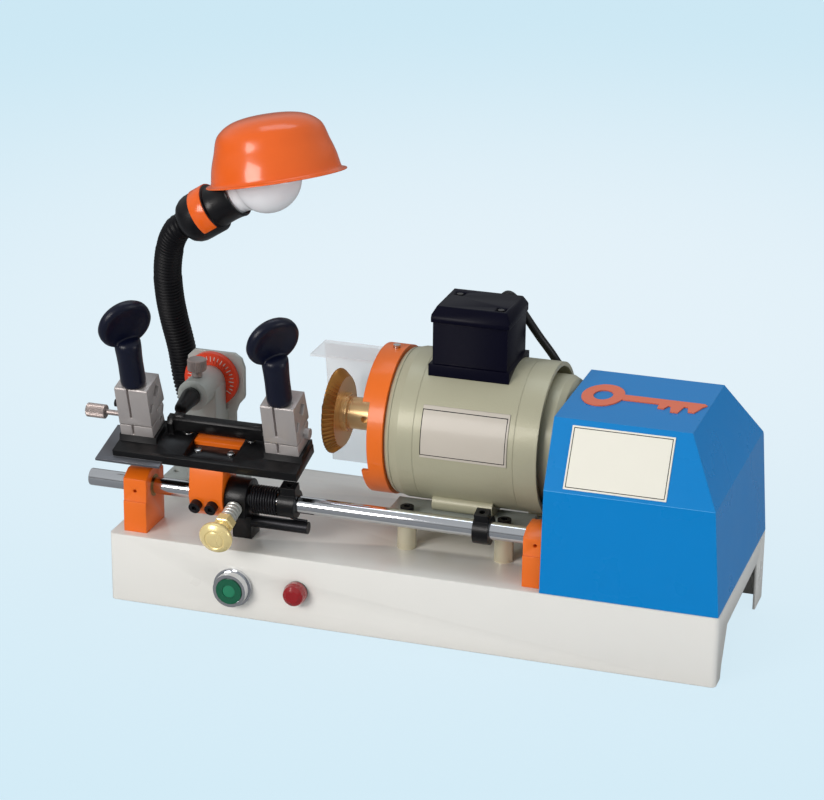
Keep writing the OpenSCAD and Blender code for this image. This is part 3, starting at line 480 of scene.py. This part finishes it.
def smooth_line(points, per=6):
    """Catmull-Rom curve through points."""
    points = [Vector(p) for p in points]
    line = []
    for i in range(len(points) - 1):
        a, b = points[max(i - 1, 0)], points[i]
        c, d = points[i + 1], points[min(i + 2, len(points) - 1)]
        for k in range(per):
            t = k / per
            line.append(0.5 * (2 * b + (c - a) * t + (2 * a - 5 * b + 4 * c - d) * t * t
                               + (3 * b - a - 3 * c + d) * t ** 3))
    return line + [points[-1]]


def resample(line, step):
    """Points at equal steps along a line."""
    lengths = [0.0]
    for a, b in zip(line, line[1:]):
        lengths.append(lengths[-1] + (b - a).length)
    count = max(int(lengths[-1] / step), 2)
    out, j = [], 0
    for i in range(count + 1):
        want = lengths[-1] * i / count
        while j < len(line) - 2 and lengths[j + 1] < want:
            j += 1
        t = (want - lengths[j]) / max(lengths[j + 1] - lengths[j], 1e-9)
        out.append(line[j].lerp(line[j + 1], min(t, 1)))
    return out


def tube(bm, line, radii, sides, reference=Vector((0, 1, 0))):
    """Tube round a line, with one radius for each point."""
    rings = []
    side = reference
    for i, point in enumerate(line):
        along = (line[min(i + 1, len(line) - 1)] - line[max(i - 1, 0)]).normalized()
        side = (side - along * side.dot(along)).normalized()
        across = along.cross(side)
        rings.append([bm.verts.new(point + radii[i] * (math.cos(2 * math.pi * k / sides) * side
                                                       + math.sin(2 * math.pi * k / sides) * across))
                      for k in range(sides)])
    for a, b in zip(rings, rings[1:]):
        for k in range(sides):
            bm.faces.new((a[k], a[(k + 1) % sides], b[(k + 1) % sides], b[k]))
    bm.faces.new(rings[0][::-1])
    bm.faces.new(rings[-1])


def softened(node, width, angle=35, smooth=30, picks=()):
    """A copy of a CAD node with its edges rounded, standing for the node.

    picks are (look, test) pairs; a face takes the look whose test passes for its middle, given in mm.
    """
    bm = bmesh.new()
    bm.from_mesh(NODES[node].data)
    bmesh.ops.remove_doubles(bm, verts=bm.verts, dist=2e-6)
    bmesh.ops.dissolve_limit(bm, angle_limit=math.radians(0.6), verts=bm.verts, edges=bm.edges)
    mesh = baked(bm, node + "_soft")
    obj = bpy.data.objects.new("working", mesh)
    bpy.context.scene.collection.objects.link(obj)
    bevel = obj.modifiers.new("edges", "BEVEL")
    bevel.limit_method = "ANGLE"
    bevel.angle_limit = math.radians(angle)
    bevel.width = width * MM
    bevel.segments = 2
    bevel.use_clamp_overlap = True
    bevel.miter_outer = "MITER_ARC"
    rounded = bpy.data.meshes.new_from_object(obj.evaluated_get(bpy.context.evaluated_depsgraph_get()))
    bpy.data.objects.remove(obj)
    rounded.materials.clear()
    for face in rounded.polygons:
        spot = (NODES[node].matrix_world @ face.center - CENTRE) / MM
        for index, (_, test) in enumerate(picks):
            if test(spot):
                face.material_index = index + 1
    finish_piece(rounded, node + "_looks", node, replaces=(node,), smooth=smooth,
                 others=[p[0] for p in picks])


# ---- Lamp ----

LAMP_C = at(-155.3, 24, 332.5)
LAMP_ANGLE = math.radians(32.5)
SHADE_C = at(-147, 24, 333)
GOOSE_PATH = [(-234, 67, 66), (-234, 67, 78), (-239, 67, 108), (-246, 67, 137), (-249.5, 65, 165),
              (-252.5, 58, 192), (-252, 48, 216), (-249.5, 39, 242), (-243, 31, 266), (-235.5, 25.5, 279.5),
              (-231, 24, 284.2), (-227.3, 24, 286.6)]
RING_PITCH = 3.2
GOOSE_R = 11.8
RIB = (1, 1, -0.2, -1, -1, 0.2)


def make_gooseneck():
    line = resample(smooth_line(GOOSE_PATH, 12), RING_PITCH / 6)
    radii = []
    for i in range(len(line)):
        depth = 1.0 if line[i].z < 236 else 0.4 if line[i].z > 262 else 0.7
        radii.append(GOOSE_R - 0.8 + depth * RIB[i % len(RIB)])
    bm = bmesh.new()
    tube(bm, line, radii, 28)
    mesh = baked(bm, "gooseneck_hose", base_matrix())
    obj = bpy.data.objects.new("gooseneck_hose", mesh)
    bpy.context.scene.collection.objects.link(obj)
    mesh.materials.append(MATERIALS["hose_black"])
    mesh.shade_smooth()
    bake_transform(obj)
    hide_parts("gooseneck")


def lamp_matrix():
    return Matrix.Translation(LAMP_C) @ Matrix.Rotation(math.pi / 2 - LAMP_ANGLE, 4, "Y") @ Matrix.Scale(MM, 4)


def make_lamp_head():
    """Black socket with a rounded foot, a flared mouth and an orange band clipped two thirds of the way round."""
    bm = bmesh.new()
    cup = [(0, -84), (12.2, -84), (14.6, -83), (17.2, -80.8), (19.3, -77), (20.3, -73), (20.4, -68), (20.4, -54),
           (19.8, -52.6), (17.9, -52.4), (17.4, -51.4), (17.1, -47), (17.1, -41), (17.4, -36), (18, -32.6),
           (18.3, -31.4), (18.1, -30.5), (17.4, -30.2), (16.4, -30.6), (15.9, -40), (0, -40)]
    revolve(bm, cup)
    steps = 60
    ends = math.radians(49), math.radians(311)
    section = [(20.3, -65.8), (21.0, -65.8), (21.2, -65.4), (21.2, -53.6), (21.0, -53.2), (20.3, -53.2)]
    rows = []
    for k in range(steps + 1):
        a = ends[0] + (ends[1] - ends[0]) * k / steps
        rows.append([bm.verts.new((r * math.cos(a), r * math.sin(a), z)) for r, z in section])
    for a, b in zip(rows, rows[1:]):
        for k in range(len(section)):
            j = (k + 1) % len(section)
            bm.faces.new((a[k], a[j], b[j], b[k])).material_index = 1
    bm.faces.new(rows[0]).material_index = 1
    bm.faces.new(rows[-1][::-1]).material_index = 1
    mesh = baked(bm, "lamp_socket", lamp_matrix())
    finish_piece(mesh, "lamp_socket", "lamp_cup", replaces=("lamp_cup",), others=("orange_enamel",))


BULB_R = 28


def make_bulb():
    """Pear-shaped bulb whose wide neck sits in the socket's mouth."""
    neck = [(15.1, -39.6), (15.1, -33), (15.4, -29), (16.1, -26), (17.3, -23.2)]
    globe = [(BULB_R * math.cos(math.radians(a)), BULB_R * math.sin(math.radians(a))) for a in range(-48, 90, 6)]
    line = smooth_line([(r, 0, z) for r, z in neck + globe + [(0, BULB_R)]], 3)
    bm = bmesh.new()
    revolve(bm, [(0, -39.6)] + [(max(v.x, 0), v.z) for v in line], 96)
    finish_piece(baked(bm, "bulb_globe", lamp_matrix()), "bulb_globe", "lamp_bulb", replaces=("lamp_bulb",),
                 smooth=60)


SHADE_LINE = [(57, 0.2), (56.7, 1.2), (54.2, 1.9), (52.7, 3.4), (51.8, 8), (50.9, 13), (49.6, 18), (48.1, 22.6),
              (46.6, 27), (45.2, 32.2), (44, 36), (42.2, 39.6), (39.2, 42.8), (34.4, 46.2), (28, 49), (20, 50.8),
              (12, 51.7), (5, 51.95), (0, 52)]
SHADE_TILT = (math.radians(-7.5), math.radians(-12))


def make_shade():
    line = [Vector((r, 0, h)) for r, h in SHADE_LINE]
    outer = [(v.x, v.z) for v in smooth_line(line, 3)]
    inner = [(max(r - 1.3, 0), h - (1.2 if r < 50 else 0.2)) for r, h in outer[3:]]
    inner = [p for p in inner if p[0] > 0] + [(0, outer[-1][1] - 1.3)]
    bm = bmesh.new()
    revolve(bm, [(outer[0][0] - 1.2, 0.0)] + outer, 96)
    revolve(bm, [(outer[0][0] - 1.2, 0.0)] + inner, 96)
    bmesh.ops.remove_doubles(bm, verts=bm.verts, dist=0.01)
    turn = Matrix.Rotation(SHADE_TILT[1], 4, "Y") @ Matrix.Rotation(SHADE_TILT[0], 4, "X")
    mesh = baked(bm, "shade_shell", Matrix.Translation(SHADE_C) @ turn @ Matrix.Scale(MM, 4))
    finish_piece(mesh, "shade_shell", "lamp_shade", replaces=("lamp_shade",), smooth=60)


# ---- Vise knobs ----

def make_vise_knob(side):
    """Round paddle with a rolled rim, leaning back on a stout stem."""
    bm = bmesh.new()
    stem = [(0, 86.3), (8.2, 86.3), (9.3, 87), (10, 88.6), (10.2, 91), (10.1, 98), (10, 106), (10.2, 114),
            (10.6, 121), (10.6, 126), (8.6, 129), (0, 130)]
    revolve(bm, stem, 48)
    revolve(bm, [(0, 42), (4, 42), (4, 87), (0, 87)], 32)
    disc = [(0, -3), (8, -3), (13.6, -3.3), (16.8, -4.3), (19, -4.5), (20.8, -3.7), (21.9, -2.1), (22.2, 0),
            (21.9, 2.1), (20.8, 3.7), (19, 4.5), (16.8, 4.3), (13.6, 3.3), (8, 3), (0, 3)]
    turn = (Matrix.Translation((0, 0, 143.5)) @ Matrix.Rotation(math.radians(47), 4, "Z")
            @ Matrix.Rotation(math.radians(103), 4, "X"))
    revolve(bm, disc, 72, turn)
    place = carriage_matrix() @ Matrix.Translation((VISE_X[side], VISE_Y, 0))
    mesh = baked(bm, side + "_paddle", place)
    finish_piece(mesh, side + "_paddle", side + "_vise_knob", replaces=(side + "_vise_knob",), smooth=50)


# ---- Small turned and wound pieces ----

def make_rod():
    """Polished rod with chamfered ends."""
    bm = bmesh.new()
    end = [(0, 0), (ROD_R - 1, 0), (ROD_R - 0.3, 0.3), (ROD_R, 1.1)]
    profile = [(r, ROD_X[0] + x) for r, x in end] + [(r, ROD_X[1] - x) for r, x in reversed(end)]
    revolve(bm, profile, 96, TO_X)
    finish_piece(baked(bm, "polished_rod", rod_matrix()), "polished_rod", "carriage_rod",
                 replaces=("carriage_rod",), smooth=25)


PLUNGER_X = -146
PLUNGER_ANGLE = math.radians(90 + 13)
KNOB_FACE_R, KNOB_FACE_Z = 9, 61.4


def make_plunger():
    """Ridged guide of the release pin, and the pull knob with its nut and a raised ring on the face."""
    turn = rod_matrix() @ Matrix.Translation((PLUNGER_X, 0, 0)) @ Matrix.Rotation(PLUNGER_ANGLE, 4, "X")
    guide = [(3.06, 16.6), (6.6, 16.6)]
    for k in range(4):
        z = 18.2 + k * 3.9
        guide += [(6.6, z), (6.1, z + 0.4), (6.1, z + 1.2), (6.6, z + 1.6)]
    guide += [(6.6, 33.2), (6.2, 33.6), (3.06, 33.6), (3.06, 16.6)]
    bm = bmesh.new()
    revolve(bm, guide, 48)
    bmesh.ops.remove_doubles(bm, verts=bm.verts, dist=0.001)
    finish_piece(baked(bm, "ridged_guide", turn), "ridged_guide", "plunger_housing", replaces=("plunger_housing",),
                 smooth=25)
    bm = bmesh.new()
    revolve(bm, [(0, 7.5), (2.5, 7.5), (3, 8), (3, 35), (0, 35)], 32)
    flat = 7.5
    corner = flat / math.cos(math.pi / 6)
    revolve(bm, [(0, 34), (flat, 34), (corner, 34.8), (corner, 42.2), (flat, 43), (0, 43)], 6)
    revolve(bm, [(0, 42.5), (5, 42.5), (5, 51.5), (0, 51.5)], 40)
    revolve(bm, [(0, 51), (8.6, 51), (9.6, 51.4), (12.7, 54.4), (13.3, 55.4), (13.6, 57), (13.5, 58.2),
                 (12.8, 59.4), (KNOB_FACE_R + 0.4, KNOB_FACE_Z - 0.2), (KNOB_FACE_R, KNOB_FACE_Z),
                 (KNOB_FACE_R - 0.5, KNOB_FACE_Z + 0.1), (KNOB_FACE_R - 1.1, KNOB_FACE_Z - 0.4),
                 (KNOB_FACE_R - 1.7, KNOB_FACE_Z - 0.4), (KNOB_FACE_R - 2.2, KNOB_FACE_Z + 0.1),
                 (5, KNOB_FACE_Z + 0.6), (0, KNOB_FACE_Z + 0.9)], 72)
    finish_piece(baked(bm, "pull_knob_turned", turn), "pull_knob_turned", "pull_knob", look="brass_knob",
                 replaces=("pull_knob",), smooth=35)


def make_spring():
    """Wound torsion spring, with one leg reaching down to the bar."""
    coils, x0, x1, radius, wire = 10, -135.4, -113.2, 10.7, 0.95
    points = []
    steps = coils * 28
    for i in range(steps + 1):
        angle = 2 * math.pi * i / 28
        points.append(Vector((x0 + (x1 - x0) * i / steps, radius * math.cos(angle), radius * math.sin(angle))))
    bm = bmesh.new()
    tube(bm, points, [wire] * len(points), 10, Vector((1, 0, 0)))
    leg = smooth_line([(x1, radius, 0), (x1 + 1.2, 10.2, -6), (x1 + 3, 8, -11.4), (x1 + 9, 4, -14.4),
                       (x1 + 22, 2.7, -14.6)], 6)
    tube(bm, leg, [wire] * len(leg), 10, Vector((1, 0, 0)))
    mesh = baked(bm, "torsion_spring", rod_matrix())
    finish_piece(mesh, "torsion_spring", "return_spring", body="slide_block", replaces=("return_spring",))


CABLE_PATH = [(30, 33, 226), (30, 46, 226.2), (32, 52, 238), (37, 54, 246.5), (44, 54, 244), (53, 54, 231),
              (64.5, 56, 214), (75.5, 62, 196), (86, 72, 172), (93, 77, 147), (95, 77, 115), (94.5, 72, 84),
              (94, 70, 66), (94, 70, 50)]


def make_cable():
    line = smooth_line(CABLE_PATH, 8)
    bm = bmesh.new()
    tube(bm, line, [3.35] * len(line), 18, Vector((1, 0, 0)))
    mesh = baked(bm, "motor_lead", base_matrix())
    finish_piece(mesh, "motor_lead", "motor_cable", replaces=("motor_cable",), smooth=80)


def make_cutter():
    """Angular cutter: dark toothed rim and cone on a brass-coloured hub."""
    teeth = 52
    bm = bmesh.new()
    profile = [(-93.5, 7, 0), (-93.5, 33.2, 0), (-93.2, 34.6, 0.4), (-92, 35, 1), (-90.5, 34.2, 1),
               (-87, 31.2, 0.8), (-84.5, 29, 0.4), (-84.5, 7, 0)]
    steps = teeth * 4
    rings = []
    for x, r, depth in profile:
        ring = []
        for k in range(steps):
            radius = r - depth * 2.0 * (k % 4) / 4
            a = 2 * math.pi * k / steps
            ring.append(bm.verts.new((x, radius * math.cos(a), radius * math.sin(a))))
        rings.append(ring)
    for i, (a, b) in enumerate(zip(rings, rings[1:] + rings[:1])):
        for k in range(steps):
            face = bm.faces.new((a[k], a[(k + 1) % steps], b[(k + 1) % steps], b[k]))
            face.material_index = 1 if 0 < i < 6 else 0
    mesh = baked(bm, "cutter_teeth", motor_matrix())
    finish_piece(mesh, "cutter_teeth", "cutter_wheel", replaces=("cutter_wheel",), smooth=25,
                 others=("cutter_edge",))


def knurl(bm, z0, z1, radius, teeth, start):
    """Straight-knurled head along Z from z0 to z1, with chamfered ends."""
    groove, chamfer = 0.45, 0.7
    rows = []
    for z, inset in ((z0, 1.0), (z0 + chamfer, 0.0), (z1 - chamfer, 0.0), (z1, 1.0)):
        row = []
        for k in range(2 * teeth):
            r, a = radius - inset - groove * (k % 2), math.pi * k / teeth
            row.append(bm.verts.new(start @ Vector((r * math.cos(a), r * math.sin(a), z))))
        rows.append(row)
    for a, b in zip(rows, rows[1:]):
        for k in range(2 * teeth):
            j = (k + 1) % (2 * teeth)
            bm.faces.new((a[k], a[j], b[j], b[k]))
    bm.faces.new(rows[0][::-1])
    bm.faces.new(rows[-1])


def make_knurled_screws():
    """Tip stop of the left vise and the lock screw on top of the tracer."""
    bm = bmesh.new()
    turn = Matrix.Translation((0, 27, 46.7)) @ TO_X
    knurl(bm, -285, -268, 5.8, 30, turn)
    revolve(bm, [(0, -268.5), (2.25, -268.5), (2.25, -240.4), (1.8, -240), (0, -240)], 28, turn)
    mesh = baked(bm, "tip_stop_knurled", carriage_matrix())
    finish_piece(mesh, "tip_stop_knurled", "tip_stop", replaces=("tip_stop",), smooth=25)
    bm = bmesh.new()
    knurl(bm, 18.5, 28.5, 8, 34, Matrix.Identity(4))
    revolve(bm, [(0, 6.6), (2, 6.6), (2, 13.4), (4.2, 13.4), (4.4, 13.7), (4.4, 18.6), (0, 18.6)], 32)
    mesh = baked(bm, "lock_screw_knurled", tracer_matrix(16))
    finish_piece(mesh, "lock_screw_knurled", "tracer_lock", replaces=("tracer_lock",), smooth=25)


def make_tracer_finger():
    """Spindle of the tracer, its collar and a blunt finger leaning down to the key."""
    bm = bmesh.new()
    along = Matrix.Rotation(-math.pi / 2, 4, "X")
    revolve(bm, [(0, 4), (5.95, 4), (5.95, 60.6), (5.6, 61), (0, 61)], 48, along)
    revolve(bm, [(0, 0), (7.2, 0), (7.8, 0.6), (7.8, 4.5), (7.4, 4.9), (0, 4.9)], 48, along)
    revolve(bm, [(0, -1), (7.6, -1), (7.6, 0.4), (5.5, 18.6), (5.1, 20), (4.2, 20.9), (2.4, 21.3), (0, 21.4)], 48,
            Matrix.Rotation(math.radians(99.3), 4, "X"))
    mesh = baked(bm, "tracer_finger", tracer_matrix(-1))
    finish_piece(mesh, "tracer_finger", "tracer_spindle", replaces=("tracer_spindle",), smooth=35)


def make_bell_rim():
    """Rounded shoulder of the motor's front bell, close inside the guard ring."""
    bm = bmesh.new()
    rim = [(54, -33.4), (56, -33.3), (57.2, -32.5), (58.3, -31.4), (59.2, -29.8), (59.6, -28.2), (54, -28.2),
           (54, -33.4)]
    revolve(bm, rim, 96, TO_X)
    bmesh.ops.remove_doubles(bm, verts=bm.verts, dist=0.001)
    finish_piece(baked(bm, "bell_rim", motor_matrix()), "bell_rim", "motor_front_bell", smooth=50)


def slab(bm, low, high):
    """Small box between two corners."""
    corners = [bm.verts.new((x, y, z)) for x in (low[0], high[0]) for y in (low[1], high[1])
               for z in (low[2], high[2])]
    for quad in ((0, 1, 3, 2), (4, 6, 7, 5), (0, 4, 5, 1), (2, 3, 7, 6), (0, 2, 6, 4), (1, 5, 7, 3)):
        bm.faces.new([corners[k] for k in quad])


def frame_lines(bm, x0, x1, y0, y1, z, wide):
    """Four thin printed lines round a rectangle."""
    slab(bm, (x0, y0, z), (x1, y0 + wide, z + 0.06))
    slab(bm, (x0, y1 - wide, z), (x1, y1, z + 0.06))
    slab(bm, (x0, y0 + wide, z), (x0 + wide, y1 - wide, z + 0.06))
    slab(bm, (x1 - wide, y0 + wide, z), (x1, y1 - wide, z + 0.06))


def make_cover_border():
    """Printed border of the label on the cover's front panel."""
    bm = bmesh.new()
    frame_lines(bm, 13.4, 90.6, 4.4, 51.1, 0.78, 0.6)
    panel = base_matrix() @ Matrix.Translation(PANEL_CORNER) @ Matrix.Rotation(PANEL_SLOPE, 4, "X")
    finish_piece(baked(bm, "cover_label_border", panel), "cover_label_border", "cover_label", look="box_plastic")


def make_nameplate_border():
    """Printed border that follows the curve of the motor's plate."""
    bm = bmesh.new()
    radius = 61.84
    for x0, x1, h0, h1 in ((-1.6, 67.6, -3.6, -3.0), (-1.6, 67.6, 31.4, 32.0), (-1.6, -1.0, -3.6, 32.0),
                           (67.0, 67.6, -3.6, 32.0)):
        steps = max(int((h1 - h0) / 2), 1)
        rows = []
        for k in range(steps + 1):
            z = h0 + (h1 - h0) * k / steps
            y = -math.sqrt(radius ** 2 - z ** 2)
            rows.append([bm.verts.new((x, y * f, z * f)) for x in (x0, x1) for f in (1.0, 0.9985)])
        for a, b in zip(rows, rows[1:]):
            for i, j in ((0, 2), (2, 3), (3, 1), (1, 0)):
                bm.faces.new((a[i], a[j], b[j], b[i]))
        bm.faces.new([rows[0][k] for k in (0, 1, 3, 2)])
        bm.faces.new([rows[-1][k] for k in (0, 2, 3, 1)])
    finish_piece(baked(bm, "nameplate_border", motor_matrix()), "nameplate_border", "motor_nameplate",
                 look="box_plastic")


def make_dial_marks():
    """Raised marks of the tracer's dial, every third one longer."""
    bm = bmesh.new()
    for k in range(-12, 13):
        start = len(bm.verts)
        long = 4.6 if k % 3 == 0 else 3.2
        slab(bm, (-0.32, -0.12, 20.6 - long), (0.32, 0.25, 20.6))
        bm.verts.ensure_lookup_table()
        bmesh.ops.transform(bm, matrix=Matrix.Rotation(math.radians(10 * k), 4, "Y"), verts=bm.verts[start:])
    finish_piece(baked(bm, "dial_marks", tracer_matrix(45.4)), "dial_marks", "tracer_dial", look="white_paint")


def make_button_centre():
    """Lighter middle of the push button."""
    bm = bmesh.new()
    turn = Matrix.Translation(BUTTON_AT) @ Matrix.Rotation(math.pi / 2, 4, "X")
    revolve(bm, [(0, 10.1), (5.3, 10.1), (5.3, 10.5), (4.9, 10.6), (0, 10.6)], 40, turn)
    finish_piece(baked(bm, "button_centre", base_matrix()), "button_centre", "button_cap", look="green_ring")


# Width in mm of the rounding on the edges of plain nodes.
SOFT_EDGES = {"base_housing": 1.5, "terminal_box": 1.4, "terminal_lid": 1.6, "left_bearing_block": 1.2,
              "right_bearing_block": 1.2, "carriage_arm": 1.0, "tracer_housing": 1.5, "lock_bracket": 0.9,
              "left_lower_jaw": 0.5, "right_lower_jaw": 0.5, "right_upper_jaw": 0.5}


def dress_picked():
    """Nodes whose faces have more than one look."""
    # The faces along the cover's front crease take the painted highlight.
    softened("rear_cover", 1.5, angle=20, smooth=9,
             picks=[("blue_crease_highlight", lambda p: abs(p.z - CREASE_Z) < 1.6 and p.y < -60)])
    softened("left_upper_jaw", 0.5, picks=[("black_steel", lambda p: p.x < -248.5)])
    softened("motor_stand", 0.5, picks=[("grey_casting", lambda p: p.z > 84)])
    softened("key_gauge", 0.6, picks=[("screw_steel", lambda p: p.x < -208.9)])
    to_carriage = carriage_matrix().inverted() @ base_matrix()

    def thin_plate(p):
        return p.x < -207 and 29 < (to_carriage @ p).z < 31

    def screw_head(p):
        q = to_carriage @ p
        in_window = 31.2 < q.z < 34 and abs(q.y - 12) < 3.2 and min(abs(p.x + 184), abs(p.x + 156)) < 3.2
        on_top = q.z > 36.2 and abs(q.y - 28) < 3.8 and min(abs(p.x + 198), abs(p.x + 144)) < 3.8
        return in_window or on_top

    softened("carriage_plate", 0.6, picks=[("plate_steel", thin_plate), ("screw_steel", screw_head)])


def main():
    make_camera()
    make_stage()
    dress_cad()
    make_gooseneck()
    make_lamp_head()
    make_bulb()
    make_shade()
    for side in VISE_X:
        make_vise_knob(side)
    make_rod()
    make_plunger()
    make_spring()
    make_cable()
    make_cutter()
    make_knurled_screws()
    make_tracer_finger()
    make_bell_rim()
    make_cover_border()
    make_nameplate_border()
    make_dial_marks()
    make_button_centre()
    for node, width in SOFT_EDGES.items():
        softened(node, width)
    dress_picked()


main()
